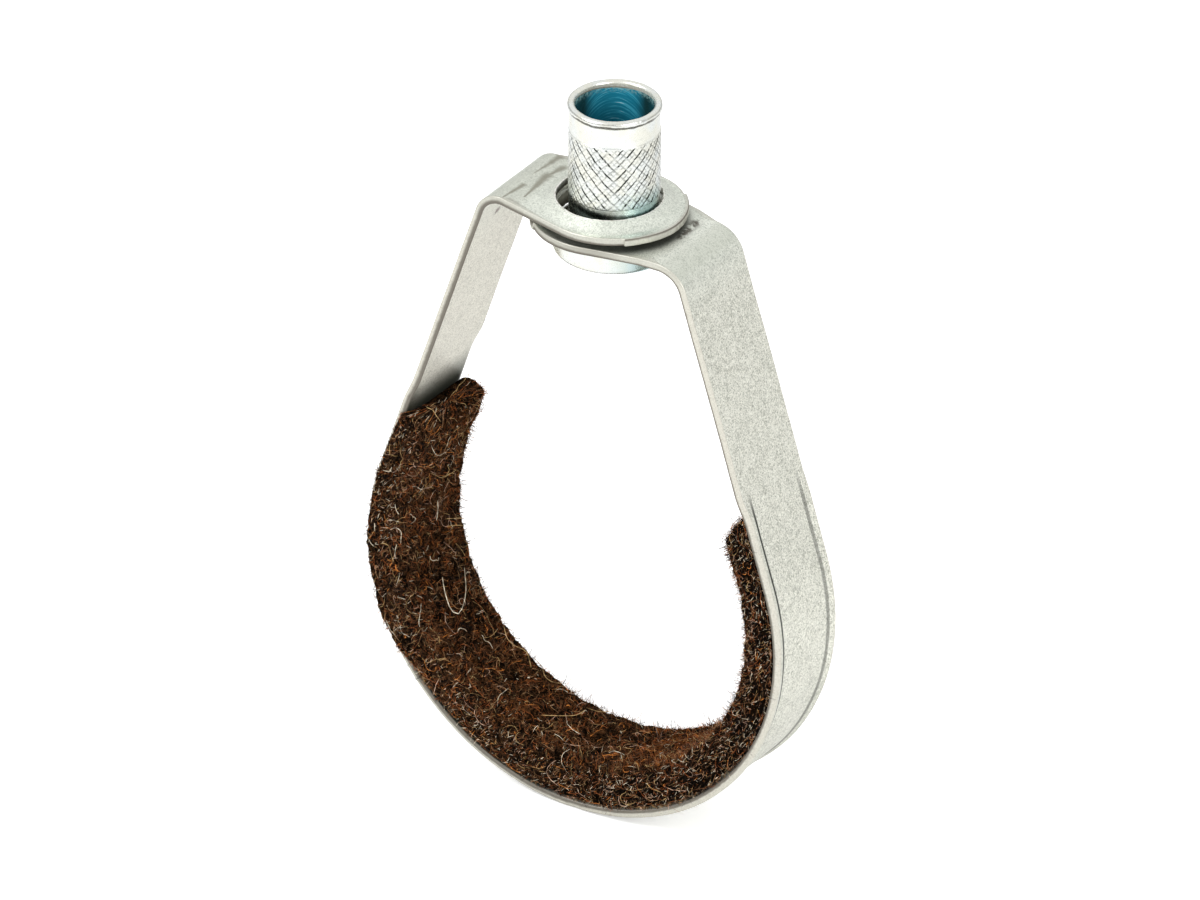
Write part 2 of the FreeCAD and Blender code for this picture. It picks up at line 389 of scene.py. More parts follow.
def zinc_finish():
    """Bright zinc plate: pale and a little iridescent outside, blue in the bore with painted arcs of light,
    painted shade and reflection in the knurl's grooves, painted shade under the lip, a painted dark
    reflection by the foot and a painted teal reflection low on one side.
    """
    f = Finish("plated_nut")
    x, y, height = (f.axis(name) for name in "XYZ")
    radius = f.from_rod
    toward = (x * math.cos(photo_side) + y * math.sin(photo_side)) / radius
    depth = height - toward * 0.4
    bore = radius.between(6.3, 6.0) * depth.between(8.4, 8.25)
    down = lip_top_z - height
    right_of = (y * math.cos(photo_side) - x * math.sin(photo_side)) / radius
    patches = f.cloud(2.6)
    grain = f.cloud(0.45, 5, 0.65)

    f.colour = f.blend(patches.between(0.35, 0.65), (0.78, 0.78, 0.70), (0.77, 0.80, 0.78))
    f.over(grain.between(0.5, 0.75) * 0.4, (0.92, 0.90, 0.82))
    f.over(grain.between(0.45, 0.3) * 0.4, (0.50, 0.51, 0.45))

    # Knurl: painted shade and reflection in the grooves; each set of lines is painted darkest on its own
    # side of the nut, so the lines meet in a V
    ragged = height + grain * 0.9 - 0.45
    knurled = ragged.between(knurl_top + 0.05, knurl_top - 0.35) * radius.between(6.5, 6.62)
    knurled = knurled * height.between(knurl_low - 0.1, knurl_low + 0.15) * radius.between(7.0, 6.95)
    turn = y.math("ARCTAN2", x)
    uneven = f.cloud(0.7).between(0.34, 0.56) * 0.85 + 0.3
    faint = f.cloud(1.4).between(0.4, 0.62)
    wobble = f.cloud(2.4) * 0.5 - 0.25
    cut = 0
    for hand in (1, -1):
        side = ((turn - photo_side) * 2).math("SINE") * toward.math("ABSOLUTE").between(0.2, 0.6)
        strong = (side * (-2.2 * hand) + 0.5).math("MINIMUM", 1).math("MAXIMUM", 0.4)
        phase = turn * (knurl_starts / 2 / math.pi) + height * (hand / knurl_lead) + wobble + knurl_phase
        off = (phase - phase.math("ROUND")).math("ABSOLUTE")
        deep = off.between(0.12, 0.05) * strong
        shallow = off.between(0.4, 0.46) * (strong * 0.35 + 0.12) * (faint * 0.9 + 0.25)
        cut = deep.math("MAXIMUM", shallow).math("MAXIMUM", cut)
    cut = cut * knurled * uneven
    # Painted reflection of the teal eye plate, low on one side of the nut
    teal_reflection = height.between(-2.0, -6.6) * right_of.between(-0.25, 0.6) * toward.between(0.0, 0.5)
    f.over(teal_reflection * 0.8, (0.30, 0.47, 0.48))
    # Painted reflection of the dark gap in the eye's hole, low on the nut's left side
    shade = height.between(-5.0, -6.9) * right_of.between(0.35, -0.35) * height.between(-9.5, -8.5)
    f.over(shade * 0.95, (0.025, 0.04, 0.036))
    # Painted shade and reflection in the knurl's grooves
    f.over(cut.math("MINIMUM", 1), (0.02, 0.024, 0.02))
    # Painted shade: a ragged dark line under the lip's bead
    wavy = down - patches * 0.7 + 0.35
    under_lip_shade = wavy.between(0.62, 0.8) * radius.between(6.6, 6.8)
    under_lip_shade = under_lip_shade * wavy.between(1.35, 1.15)
    f.over(under_lip_shade * 0.9, (0.06, 0.055, 0.045))
    lip_shade = radius.between(6.75, 6.9) * down.between(0.5, 0.3)
    lip_shade = lip_shade * down.between(0.1, 0.25) * grain.between(0.35, 0.6)
    f.over(lip_shade * 0.6, (0.30, 0.30, 0.26))
    lip_inside = radius.between(6.25, 6.08) * down.between(0.25, 0.5)
    f.over(lip_inside * grain.between(0.3, 0.5) * 0.7, (0.40, 0.39, 0.31))
    bore_line = lip_inside * depth.between(8.56, 8.46) * right_of.between(0.7, 0.1)
    f.over(bore_line * 0.8, (0.16, 0.135, 0.09))

    # Bore: arcs of light on the far wall, dark to both sides
    sweep = f.node("CombineXYZ", None, [height + toward * 8.7, 0, right_of * 0.4])
    arcs = f.cloud(0.34, 3, 0.6, sweep)
    blue = f.blend(arcs.between(0.48, 0.66), (0.014, 0.245, 0.37), (0.07, 0.50, 0.69))
    streak = arcs.between(0.6, 0.68) * right_of.between(-0.45, -0.1) * right_of.between(0.4, 0.1)
    blue = f.blend(streak, blue, (0.50, 0.88, 0.97))
    blue = f.blend(toward.between(-0.93, -0.62), blue, (0.010, 0.045, 0.048))
    blue = f.blend(height.between(6.9, 8.1) * grain.between(0.4, 0.6) * 0.8, blue, (0.35, 0.58, 0.56))
    f.over(bore, blue)
    roughness = 0.2 + grain * 0.14 + cut * 0.25 - bore * 0.05
    relief = f.bump(grain + arcs * bore * 0.8, 0.014)
    metallic = 1 - bore.math("MAXIMUM", lip_inside) * 0.75
    return f.done(Roughness=roughness, Metallic=metallic, Normal=relief)


def felt_finish():
    """Needled hair felt: near black where it is cut, brown to rust on its face, in a tangle of hairs, with
    painted shade in the gaps between them.
    """
    f = Finish("brown_felt", {"Roughness": 1.0, "Specular IOR Level": 0.0})
    drift = f.node("TexNoise", None, {"Vector": f.place, "Scale": 0.7, "Detail": 3.0}, "Color")
    bent = f.vector("ADD", f.place, {1: f.vector("SCALE", drift, {"Scale": 2.4})})
    tangle = f.cells(bent, 0.5, "DISTANCE_TO_EDGE").between(0.09, 0.0)
    drawn = f.vector("MULTIPLY", bent, {1: (1.9, 0.8, 1.4)})
    fine = f.cells(drawn, 0.42, "DISTANCE_TO_EDGE").between(0.1, 0.0)
    hair_gaps = f.cloud(0.38, 4, 0.7)
    patches = f.cloud(4.5).between(0.4, 0.64)
    rust = f.cloud(1.6, 5, 0.7).between(0.5, 0.72)
    face = f.mask("face")
    f.colour = f.blend(patches * (face * 0.75 + 0.25), (0.014, 0.007, 0.004), (0.115, 0.047, 0.018))
    f.over(rust * (face * 0.7 + 0.1), (0.30, 0.088, 0.018))
    f.over(tangle * 0.4, (0.25, 0.12, 0.048))
    f.over(fine * 0.3, (0.34, 0.19, 0.09))
    # Painted shade: near-black pits and specks where the gaps between the hairs lie in shadow
    pits = f.cloud(1.3, 4, 0.65)
    f.over(pits.between(0.5, 0.4) * 0.85, (0.004, 0.003, 0.002))
    f.over(hair_gaps.between(0.56, 0.42) * 0.95, (0.002, 0.0015, 0.001))
    across = f.axis("X")
    dark_side = across.between(-6, 8) * (1 - face)
    f.over(dark_side * 0.8, (0.004, 0.003, 0.002))
    glow = across.between(2, 9) * across.between(20, 14) * face * patches
    f.over(glow * hair_gaps.between(0.4, 0.55) * 0.4, (0.42, 0.125, 0.026))
    return f.done(Normal=f.bump(tangle + fine * 0.7 + rust * 0.5 + hair_gaps * 1.6, 0.3))


def hair_finish(name, colour):
    """One shade of the felt's hairs, darker and paler in patches."""
    f = Finish(name, {"Roughness": 0.7, "Specular IOR Level": 0.12})
    dark = tuple(value * 0.35 for value in colour)
    f.colour = f.blend(f.cloud(0.8).between(0.38, 0.58), dark, colour)
    return f.done()


# Meshes


def make_piece(name, points, faces, finishes, body, masks=None, crease=40, slots=None):
    """One piece of the dressed part. Edges past the crease angle stay sharp; slots is each face's finish."""
    mesh = bpy.data.meshes.new(name)
    mesh.from_pydata((np.asarray(points) * MM).tolist(), [], [list(map(int, face)) for face in faces])
    for finish in finishes:
        mesh.materials.append(finish)
    if slots is not None:
        mesh.polygons.foreach_set("material_index", np.asarray(slots, np.int32))
    for key, values in (masks or {}).items():
        mesh.attributes.new(key, "FLOAT", "POINT").data.foreach_set("value", np.asarray(values, np.float32))
    mesh.shade_smooth()
    mesh.set_sharp_from_angle(angle=math.radians(crease))
    piece = bpy.data.objects.new(name, mesh)
    bpy.context.scene.collection.objects.link(piece)
    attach(piece, body)
    return piece


def grid_faces(rows, columns, wrap=False):
    """Quads between the rows of a grid of points, joined round in each row if it wraps."""
    row = np.arange(rows - 1)[:, None]
    column = np.arange(columns if wrap else columns - 1)[None, :]
    across = (column + 1) % columns
    corners = [row * columns + column, row * columns + across]
    corners += [(row + 1) * columns + across, (row + 1) * columns + column]
    return np.stack(corners, 2).reshape(-1, 4)


# Band


def turned_rise(run, full_run):
    return edge_rise * (1 - eased(run, full_run, full_run + edge_fade))


def leg_stations(leg, front_run, rear_run):
    """The strip from an eye down to the ring: where it is, which way is out, how far its edges turn."""
    stations = []
    for share in np.linspace(0, 1, 12, endpoint=False):
        tilt = math.pi / 2 - leg.turn * share
        out = np.array([leg.side * math.cos(tilt), math.sin(tilt)])
        stations.append((leg.bend_centre + out * leg.bend_r, out, 0, 0))
    for run in np.linspace(leg.length, 0, 44, endpoint=False):
        stations.append((leg.at(run), leg.out, turned_rise(run, front_run), turned_rise(run, rear_run)))
    return stations


def ring_stations():
    stations = []
    for angle in np.linspace(180 - left_lean, 360 + right_lean, 120):
        out = np.array([math.cos(math.radians(angle)), math.sin(math.radians(angle))])
        stations.append((ring_centre + out * ring_r, out, edge_rise, edge_rise))
    return stations


def strip_columns():
    """Places across the strip, closer together at its cut edges and at the crease of each turned edge."""
    one_side = [1.5, 3.0, 4.5, 5.4, crease_y - 0.08, crease_y + 0.08, 6.8, 7.25, half_w - 0.27, half_w]
    return [-y for y in reversed(one_side)] + [0.0] + one_side


def strip_layer():
    """The strip between its two eyes."""
    columns = np.array(strip_columns())
    stations = leg_stations(left, left_front_run, left_rear_run) + ring_stations()
    stations += reversed(leg_stations(right, right_front_run, right_rear_run))
    past = np.clip((np.abs(columns) - crease_y) / edge_w, 0, None)
    sloped = np.where(np.abs(np.abs(columns) - crease_y) < 0.1, 0.5, past > 0)
    points, lifts, turned = [], [], []
    for point, out, front_rise, rear_rise in stations:
        rise = np.where(columns < 0, front_rise, rear_rise)
        depth = rise * past
        points += list(np.stack([point[0] + out[0] * depth, columns, point[1] + out[1] * depth], 1))
        tilt = -np.sign(columns) * rise / edge_w * sloped
        lifts += list(np.stack([np.full(len(columns), out[0]), tilt, np.full(len(columns), out[1])], 1))
        turned += list((rise / edge_rise) ** 0.5 * np.where(columns < 0, 1.0, 0.55))
    return points, lifts, turned, np.zeros(len(points)), grid_faces(len(stations), len(columns))


def eye_outline(leg):
    """The eye's plan from the hole's centre, as (along, y, sheared): along runs away from the leg."""
    start = -leg.side * (leg.plate_x - eye_x)
    slope = 0.008
    reach = math.hypot(eye_offset - start, half_w)
    touch = math.pi / 2 - math.atan2(half_w, eye_offset - start) + math.asin(eye_r / reach)
    cut = math.radians(shear_angle)

    def on_round(radius, angle):
        return eye_offset + radius * math.cos(angle), radius * math.sin(angle)

    def arc(radius, first, last, steps, sheared=0):
        return [(*on_round(radius, angle), sheared) for angle in np.linspace(first, last, steps)]

    def straight(first, last, steps):
        shares = np.linspace(0, 1, steps, endpoint=False)[1:]
        return [(*(np.array(first) * (1 - share) + np.array(last) * share), 0) for share in shares]

    outline = [(start, y, 0) for y in strip_columns()]
    outline += straight((start, half_w), on_round(eye_r, touch), 7)
    outline += arc(eye_r, touch, cut + slope, 12)
    outline += arc(eye_r, cut - slope, slope - cut, 40, 1)
    outline += arc(eye_r, -cut - slope, -touch, 12)
    outline += straight(on_round(eye_r, -touch), (start, -half_w), 7)
    return outline


def collar_height(radius):
    share = np.clip((collar_r - radius) / (collar_r - eye_hole_r), 0, 1)
    return collar_rise * (0.65 * share + 0.35 * eased(share, 0, 1))


def eye_layer(leg):
    """One flat eye with its collar: rays from the hole's edge to the outline."""
    outline = np.array(eye_outline(leg))
    reach = np.hypot(outline[:, 0], outline[:, 1])
    way = outline[:, :2] / reach[:, None]
    rings = [np.full(len(outline), radius) for radius in (eye_hole_r, 8.25, 8.7, 9.2, 9.7, 10.1, 10.35)]
    rings += [rings[6] + (reach - rings[6]) * share for share in (0.3, 0.5, 0.65)]
    rings = np.array(rings + [reach + shear_step * outline[:, 2]])
    x = eye_x - leg.side * way[:, 0] * rings
    points = np.stack([x, way[:, 1] * rings, leg.plate_z + collar_height(rings)], 2)
    lifts = np.zeros_like(points)
    lifts[:, :, 2] = 1
    if leg is right:
        burr = burr_drop * eased(way[:, 0], burr_from, burr_full)
        points[0, :, 2] -= burr
        lifts[0, :, 2] += burr / sheet_t
    sheared = np.zeros(x.shape)
    sheared[-1] = outline[:, 2]
    turned = np.zeros(x.size)
    return points.reshape(-1, 3), lifts.reshape(-1, 3), turned, sheared.ravel(), grid_faces(*x.shape, True)


def weld(layers):
    """Joins the strip to its eyes where their points meet.

    A layer is its points, the lift from each to the outer face, how far the edge there is turned out,
    whether the shears cut it, and its faces.
    """
    rows, faces = np.zeros((0, 8)), []
    for *values, grid in layers:
        faces += (grid + len(rows)).tolist()
        rows = np.concatenate([rows, np.column_stack(values)])
    _, first, same = np.unique(np.round(rows[:, :3], 3), axis=0, return_index=True, return_inverse=True)
    rows = rows[first]
    return rows[:, :3], rows[:, 3:6], rows[:, 6], rows[:, 7], same.ravel()[np.array(faces)].tolist()


def thicken(points, lifts, turned, sheared, faces):
    """Makes sheet of the welded layer: inner face, outer face and cut edges with eased corners."""
    count = len(points)
    for face in faces:
        a, b, c = (points[corner] for corner in face[:3])
        if np.dot(np.cross(b - a, c - b), lifts[face[0]]) < 0:
            face.reverse()
    sides = {(a, b) for face in faces for a, b in zip(face, face[1:] + face[:1])}
    rim = [(a, b) for a, b in sides if (b, a) not in sides]
    outward = np.zeros_like(points)
    for a, b in rim:
        way = np.cross(points[b] - points[a], lifts[a] + lifts[b])
        way /= np.linalg.norm(way)
        outward[a] += way
        outward[b] += way
    edge = sorted({a for a, b in rim})
    length = np.linalg.norm(outward[edge], axis=1)[:, None]
    outward[edge] *= np.minimum(2 / length, 1.4) / length
    order = {point: place for place, point in enumerate(edge)}

    rough = np.array([noise.noise(Vector(point) * 1.7) for point in points[edge]])
    at_hole = np.hypot(points[edge, 0] - eye_x, points[edge, 1]) < eye_hole_r + 0.1
    inset = outward * cut_round
    inner = points - inset
    outer = points + lifts * sheet_t - inset
    turns = np.radians([25, 55, 90])
    heights = cut_round * (1 - np.cos(turns))
    insets = cut_round * (1 - np.sin(turns))
    middle = np.array([0.38, 0.46, 0.62, 0.72])
    levels = np.concatenate([heights, middle, sheet_t - heights[::-1]])[:, None]
    pulls = np.concatenate([insets, middle * 0, insets[::-1]])[:, None]
    jog = rough * np.where(at_hole, hole_wear, edge_wear * (levels < worn_zone)) - pulls
    walls = points[edge] + lifts[edge] * levels[:, :, None] + outward[edge] * jog[:, :, None]
    through = np.where(sheared[edge] > 0.5, 1.05 - levels / sheet_t, levels / sheet_t)

    places = 2 * count + np.arange(jog.size).reshape(jog.shape)
    at = [edge, *places.tolist(), [count + point for point in edge]]
    made = [face[::-1] for face in faces] + [[count + corner for corner in face] for face in faces]
    for a, b in rim:
        for low, high in zip(at, at[1:]):
            made.append([low[order[a]], low[order[b]], high[order[b]], high[order[a]]])
    everything = np.concatenate([inner, outer, walls.reshape(-1, 3)])
    on_edge = np.zeros(count)
    on_edge[edge] = 1
    nothing, on_walls = np.zeros(count), np.ones(places.size)
    hole_rim = np.zeros(count)
    hole_rim[edge] = at_hole
    rims = at_hole * (levels > 0.9)
    masks = {
        "edge": np.concatenate([on_edge, on_edge, on_walls]),
        "through": np.concatenate([nothing, on_edge, through.ravel()]),
        "rim": np.concatenate([nothing, hole_rim, rims.ravel()]),
        "turned": np.concatenate([nothing, turned * (1 - on_edge), on_walls * 0]),
        "inner": np.concatenate([np.ones(count), nothing, on_walls * 0]),
    }
    return everything, made, masks


def settled(points):
    """The band's unevenness: the lower eye's plate sags to its bend, and the sheet is never quite flat."""
    x, z = points[:, 0], points[:, 2]
    z -= plate_sag * eased(x, sag_from_x, sag_full_x) * eased(z, sag_from_z, sag_full_z)
    for point in points:
        point[2] += 0.05 * noise.noise(Vector(point) * 0.16)
        point[0] += 0.06 * noise.noise(Vector(point) * 0.11 + Vector((40, 0, 0)))
    return points


def make_band():
    points, faces, masks = thicken(*weld([strip_layer(), eye_layer(left), eye_layer(right)]))
    points = settled(points)
    finishes = [galvanised_finish()]
    piece = make_piece("formed_band", points, faces, finishes, "ring", masks, 50)
    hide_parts("band")


# Nut


def eased_corners(corners, radius, steps=4):
    """A polyline whose inner corners are rounded."""
    corners = [np.array(corner, float) for corner in corners]
    line = [corners[0]]
    for before, corner, after in zip(corners, corners[1:], corners[2:]):
        to_before, to_after = before - corner, after - corner
        reach = min(radius, np.linalg.norm(to_before) / 2, np.linalg.norm(to_after) / 2)
        first = corner + to_before / np.linalg.norm(to_before) * reach
        last = corner + to_after / np.linalg.norm(to_after) * reach
        for share in np.linspace(0, 1, steps):
            line.append(first * (1 - share) ** 2 + corner * 2 * share * (1 - share) + last * share**2)
    return line + [corners[-1]]


def spaced(line, step_at):
    """Adds points along a polyline, no further apart than step_at says for each stretch."""
    full = [line[0]]
    for a, b in zip(line, line[1:]):
        count = max(1, math.ceil(np.linalg.norm(b - a) / step_at(a, b)))
        full += [a + (b - a) * share for share in np.linspace(0, 1, count + 1)[1:]]
    return full


def lengths(line):
    """How far along a line each of its points is."""
    return np.concatenate([[0], np.cumsum(np.linalg.norm(np.diff(line, axis=0), axis=1))])


def at_lengths(line, wanted):
    """The points at those lengths along a line."""
    return np.stack([np.interp(wanted, lengths(line), side) for side in line.T], 1)


def nut_profile():
    """The nut's section from the lip's outer side down to the foot, and up through the thread and bore."""
    tight_r = eye_hole_r + eye_x
    seat_z = lower_eye_z + collar_rise - flange_gap
    rim_z = seat_z - (flange_r - tight_r) * collar_rise / (collar_r - eye_hole_r)
    bead_r = (lip_r - bore_r) / 2
    bead = np.array([lip_r - bead_r, lip_top_z - bead_r])
    outside = [
        (lip_r, bead[1]),
        (lip_r, lip_top_z - lip_h),
        (body_r, lip_top_z - lip_h - (lip_r - body_r)),
        (body_r, knurl_top + 0.1),
        (knurl_r, knurl_top),
        (knurl_r, knurl_low + 0.1),
        (body_r, knurl_low),
        (body_r, seat_z),
        (tight_r, seat_z),
        (flange_r, rim_z),
        (flange_r, foot_z + flange_round),
    ]
    inside = [
        (flange_r - flange_round, foot_z),
        (minor_r + thread_exit_c, foot_z),
        (minor_r, foot_z + thread_exit_c),
        (minor_r, 0),
        (bore_r, entry_cone_h),
        (bore_r, bead[1]),
    ]
    foot_turns = np.radians([15, 30, 45, 60, 75])
    foot_centre = np.array([flange_r - flange_round, foot_z + flange_round])
    foot = [foot_centre + flange_round * np.array([math.cos(turn), -math.sin(turn)]) for turn in foot_turns]
    bead_turns = np.linspace(math.pi, 0, 15)[1:-1]
    over = [bead + bead_r * np.array([math.cos(turn), math.sin(turn)]) for turn in bead_turns]
    line = eased_corners(outside, 0.14) + foot + eased_corners(inside, 0.12) + over

    def step_at(a, b):
        heights = sorted((a[1], b[1]))
        if min(a[0], b[0]) > body_r and knurl_low - 0.2 < heights[0] and heights[1] < knurl_top + 0.2:
            return knurl_step
        if max(a[0], b[0]) < minor_r + 0.01:
            return thread_step
        return plain_step

    return np.array(spaced(line, step_at))


def groove(phase, width):
    """How deep a line of the knurl is cut, 0 to 1, once in each whole phase."""
    off = np.abs(phase - np.round(phase))
    return np.clip(1 - off / width, 0, 1)


def knurl_cut(angle, z):
    """Depth of the diamond knurl: two crossing sets of lines, with a shallower line between each two."""
    turn = angle / (2 * math.pi) * knurl_starts
    cut = 0
    for hand in (1, -1):
        phase = turn + hand * z / knurl_lead + knurl_phase
        deep = groove(phase, 0.11)
        shallow = groove(phase + 0.5, 0.1) * 0.6
        cut = np.maximum(cut, np.maximum(deep, shallow))
    cut = cut * eased(z, knurl_low - 0.1, knurl_low + 0.2)
    return cut * (1 - eased(z, knurl_top - 0.35, knurl_top + 0.05))


def make_nut():
    profile = nut_profile()
    columns, wear_columns = 360, 45
    angle = np.linspace(0, 2 * math.pi, columns, endpoint=False)[None, :]
    radius = np.repeat(profile[:, :1], columns, 1)
    z = np.repeat(profile[:, 1:], columns, 1)
    outer = radius > body_r - 0.01
    on_knurl = outer & (z < knurl_top + 0.05) & (z > knurl_low - 0.1) & (radius < lip_r - 0.05)
    every = columns // wear_columns
    around = [Vector((3 * math.cos(turn), 3 * math.sin(turn), 0)) for turn in angle[0, ::every]]
    wear = [[noise.noise(way + Vector((0, 0, height * 0.5))) for way in around] for height in profile[:, 1]]
    wear = np.repeat(wear, every, 1)
    cut = knurl_cut(angle, z) * on_knurl * (0.8 + 0.6 * wear)
    radius = radius - knurl_depth * cut
    near_lip = (z > lip_top_z - 1.2) & (radius > bore_r - 0.05)
    radius = radius + near_lip * wear * lip_wear

    in_thread = (radius < minor_r + 0.01) & (z < 0.01)
    turn = z / thread_pitch - angle / (2 * math.pi)
    ridge = np.abs(turn - np.floor(turn) - 0.5) * 2
    depth = np.clip(ridge * 1.35 - 0.15, 0, 1) * (major_r - minor_r)
    ends = eased(-z, 0, 0.8) * eased(z, foot_z + thread_exit_c, foot_z + thread_exit_c + 0.8)
    radius = radius + in_thread * depth * ends

    points = np.stack([radius * np.cos(angle), radius * np.sin(angle), z], 2).reshape(-1, 3)
    faces = grid_faces(len(profile) + 1, columns, True) % (len(profile) * columns)
    finishes = [zinc_finish()]
    piece = make_piece("knurled_nut", points, faces[:, ::-1], finishes, "nut", None, 60)
    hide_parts("swivel_nut")


# Felt

row_step = 0.34
column_step = 0.42
section_counts = (18, 4, 5, 20, 44, 16, 16)
felt_across = sum(section_counts)
front_columns = (22, 47)
rear_columns = (91, 107)
cap_rows = 8
hair_lean = 1.15

# Each shade of hair: its colour, and how stout a hair of it is
hair_shades = {
    "black": ((0.007, 0.004, 0.003), 1.2),
    "brown": ((0.180, 0.078, 0.034), 1.0),
    "rust": ((0.430, 0.130, 0.040), 0.9),
    "orange": ((0.850, 0.300, 0.065), 1.1),
    "khaki": ((0.640, 0.430, 0.190), 1.0),
    "tan": ((0.520, 0.300, 0.150), 0.9),
    "pale": ((0.950, 0.840, 0.640), 1.35),
    "pink": ((0.850, 0.560, 0.400), 1.1),
}
laid_step = (0.2, 0.42)


def felt_thickness(sine):
    """The felt's thickness where its back's outward direction has that upward part."""
    lift = felt_crown * sine
    return felt_back_r - (lift + math.sqrt(seat_r**2 - felt_crown**2 + lift**2))


def felt_stations():
    """The felt from its left end to its right one: back point, outward way, overhang, leg, run."""
    stations = []

    def on_leg(leg, run, overhang):
        stations.append((leg.at(run) - leg.out * glue_line, leg.out, overhang, leg, run))

    for run in np.arange(left_felt_run, 0, -row_step):
        on_leg(left, run, felt_spill - 0.3 * eased(run, 3, left_felt_run))
    first, last = math.radians(180 - left_lean), math.radians(360 + right_lean)
    for angle in np.arange(first, last, row_step / (seat_r + 2)):
        out = np.array([math.cos(angle), math.sin(angle)])
        overhang = felt_spill * (1 - eased(angle, math.radians(200), math.radians(232)))
        stations.append((ring_centre + out * felt_back_r, out, overhang, None, 0))
    for run in np.arange(0, right_felt_run, row_step):
        on_leg(right, run, 0)
    return stations


def felt_section(thick, overhang):
    """Points round the felt's section as (y, height above its back), from the back's middle and round."""
    half = felt_w / 2
    front = half + overhang
    spill = 0.02 + eased(overhang, 0.45, 0.95)
    neck = min(front - 0.15, half_w + 0.14)
    corners = [(0, 0), (-neck, 0), (-neck, -spill), (-front, -spill), (-front, thick)]
    corners += [(half, thick), (half, 0), (0, 0)]
    line = np.array(eased_corners(corners, felt_corner_r, 6))
    length = lengths(line)
    turns = [0] + [(length[3 + 6 * k] + length[4 + 6 * k]) / 2 for k in range(6)] + [length[-1]]
    wanted = []
    for low, high, count in zip(turns, turns[1:], section_counts):
        wanted += list(np.linspace(low, high, count, endpoint=False))
    return at_lengths(line, wanted)


def felt_row(station, share=1.0, rise=0.0):
    """One row of points round the felt. The ends are cut askew, so rows near them shift along the leg."""
    point, out, overhang, leg, run = station
    thick = felt_thickness(out[1])
    section = felt_section(thick, overhang)
    middle = np.array([0, thick / 2])
    section = middle + (section - middle) * share
    row = placed(point, out, section)
    if leg is left:
        skew = (0.45 - 0.6 * section[:, 0] / felt_w) * eased(run, left_felt_run - askew_run, left_felt_run)
    elif leg is right:
        skew = (1.5 - 3.2 * section[:, 1] / thick) * eased(run, right_felt_run - askew_run, right_felt_run)
    else:
        return row
    slide = skew + rise
    row[:, 0] += leg.up[0] * slide
    row[:, 2] += leg.up[1] * slide
    return row


def felt_grid():
    """Rows of points round the felt, from the middle of one end face to the middle of the other."""
    stations = felt_stations()
    caps = []
    for station, bulge in ((stations[0], left_bulge), (stations[-1], right_bulge)):
        shares = np.linspace(0.06, 0.97, cap_rows)
        caps.append([felt_row(station, share, bulge * math.sqrt(1 - share**2)) for share in shares])
    return np.array(caps[0] + [felt_row(station) for station in stations] + caps[1][::-1])


def placed(point, out, section):
    """A section's points in space: height is measured inwards from the felt's back."""
    x = point[0] - out[0] * section[:, 1]
    z = point[1] - out[1] * section[:, 1]
    return np.stack([x, section[:, 0], z], 1)


def grid_normals(grid):
    along = np.gradient(grid, axis=0)
    across = (np.roll(grid, -1, 1) - np.roll(grid, 1, 1)) / 2
    normal = np.cross(along, across)
    return normal / np.maximum(np.linalg.norm(normal, axis=2, keepdims=True), 1e-9)


def roughened(grid):
    """The felt's lumpy, matted surface."""
    normal = grid_normals(grid)
    lumps = np.zeros(len(normal) * felt_across)
    for depth, finer in ((0.26, 0.45), (0.2, 1.3), (0.13, 3.1)):
        lumps += [depth * noise.noise(Vector(point) * finer) for point in grid.reshape(-1, 3)]
    height = felt_height(grid)[:, :, None]
    beyond = np.abs(grid[:, :, 1:2])
    free = np.maximum(eased(height, 0.2, 1.2), eased(beyond, half_w + 0.3, half_w + 0.8))
    return grid + normal * (lumps.reshape(height.shape) + felt_swell) * free


def felt_height(grid):
    """How far each point of the felt is from the steel behind it."""
    flat = grid[:, :, [0, 2]] - ring_centre
    height = felt_back_r - np.linalg.norm(flat, axis=2)
    for leg in (left, right):
        beside = (flat[:, :, 0] * leg.side > 0) & (flat @ leg.up > 0)
        height = np.where(beside, felt_back_r - flat @ leg.out, height)
    return height


def make_felt():
    grid = roughened(felt_grid())
    rows, columns, _ = grid.shape
    column = np.arange(columns)
    first, last = front_columns[1], rear_columns[0]
    face = np.tile(eased(column, first - 3, first + 3) * (1 - eased(column, last - 3, last + 3)), rows)
    faces = grid_faces(rows, columns, True).tolist()
    faces += [column[::-1].tolist(), (column + (rows - 1) * columns).tolist()]
    finishes = [felt_finish()]
    points = grid.reshape(-1, 3)
    piece = make_piece("felt_pad", points, faces, finishes, "ring", {"face": face}, 80)
    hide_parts("felt_lining")
    return grid


def tubes(lines, radius, sides=3):
    """Thin closed tubes along the lines, an array of (hair, point, xyz), tapering to their ends."""
    hairs, count, _ = lines.shape
    along = np.gradient(lines, axis=1)
    along /= np.maximum(np.linalg.norm(along, axis=2, keepdims=True), 1e-9)
    side = np.cross(along, dice.normal(size=(hairs, 1, 3)))
    side /= np.maximum(np.linalg.norm(side, axis=2, keepdims=True), 1e-9)
    other = np.cross(along, side)
    taper = np.clip(np.minimum(np.arange(count) + 0.35, count - np.arange(count) - 0.65), 0, 1)
    width = radius[:, None, None] * taper[None, :, None]
    turns = np.arange(sides) * 2 * math.pi / sides
    rings = [lines + width * (side * math.cos(turn) + other * math.sin(turn)) for turn in turns]
    first = np.arange(hairs)[:, None, None] * count * sides
    wall = grid_faces(count, sides, True)
    ends = np.array([range(sides)[::-1], range((count - 1) * sides, count * sides)])
    faces = (wall + first).reshape(-1, 4).tolist() + (ends + first).reshape(-1, sides).tolist()
    owner = np.concatenate([np.repeat(np.arange(hairs), len(wall)), np.repeat(np.arange(hairs), 2)])
    return np.stack(rings, 2).reshape(-1, 3), faces, owner


def make_hairs(name, lines, radius, shade, finishes):
    points, faces, owner = tubes(lines, radius)
    return make_piece(name, points, faces, finishes, "ring", None, 80, shade[owner])


